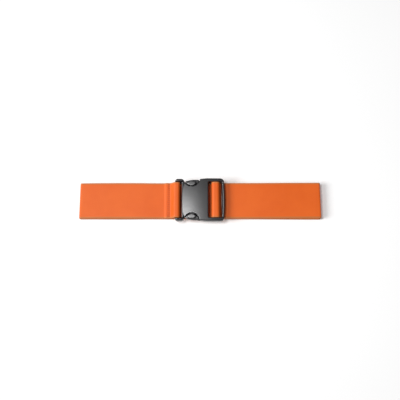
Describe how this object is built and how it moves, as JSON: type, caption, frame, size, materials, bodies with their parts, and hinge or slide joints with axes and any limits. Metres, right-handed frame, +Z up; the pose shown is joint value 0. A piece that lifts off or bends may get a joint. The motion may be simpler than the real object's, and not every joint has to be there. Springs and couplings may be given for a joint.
{
  "type": "luggage strap",
  "caption": "Flat woven luggage strap folded for storage, one end sewn round the plug of a side-release buckle and the other threaded through the socket's adjuster bars.",
  "frame": {"origin": "centre of the folded strap's footprint, on the surface it lies on", "axes": "+X along the strap from the sewn plug end to the adjuster end, +Y across the webbing, +Z up out of the front face"},
  "size_m": [0.3376, 0.06, 0.0204],
  "materials": {
    "socket_plastic": "fine satin texture",
    "plug_plastic": "fine satin texture",
    "webbing": "flat woven polyester",
    "thread": "twisted sewing thread"
  },
  "bodies": {
    "socket": {"socket": "socket_plastic", "webbing_pack": "webbing", "webbing_socket_run": "webbing"},
    "plug": {"plug": "plug_plastic", "webbing_plug_run": "webbing", "stitch_row_1": "thread", "stitch_row_2": "thread"},
    "prong_upper": {"prong_upper": "plug_plastic"},
    "prong_lower": {"prong_lower": "plug_plastic"},
    "tail": {"webbing_tail": "webbing"}
  },
  "joints": [
    {"name": "plug_slide", "type": "slide", "parent": "socket", "child": "plug", "axis": [-1, 0, 0], "range_m": [0, 0.05], "deforming": ["prong_upper", "prong_lower"]},
    {"name": "prong_upper_squeeze", "type": "hinge", "parent": "plug", "child": "prong_upper", "pos_m": [-0.0219, 0.0162, 0.0142], "axis": [0, 0, -1], "range_deg": [0, 8], "stiffness_Nm_per_rad": 0.5},
    {"name": "prong_lower_squeeze", "type": "hinge", "parent": "plug", "child": "prong_lower", "pos_m": [-0.0219, -0.0162, 0.0142], "axis": [0, 0, 1], "range_deg": [0, 8], "stiffness_Nm_per_rad": 0.5},
    {"name": "tail_slide", "type": "slide", "parent": "socket", "child": "tail", "axis": [1, 0, 0], "range_m": [0, 0.035]}
  ],
  "couplings": [
    {"joint": "prong_lower_squeeze", "follows": "prong_upper_squeeze", "ratio": 1}
  ]
}
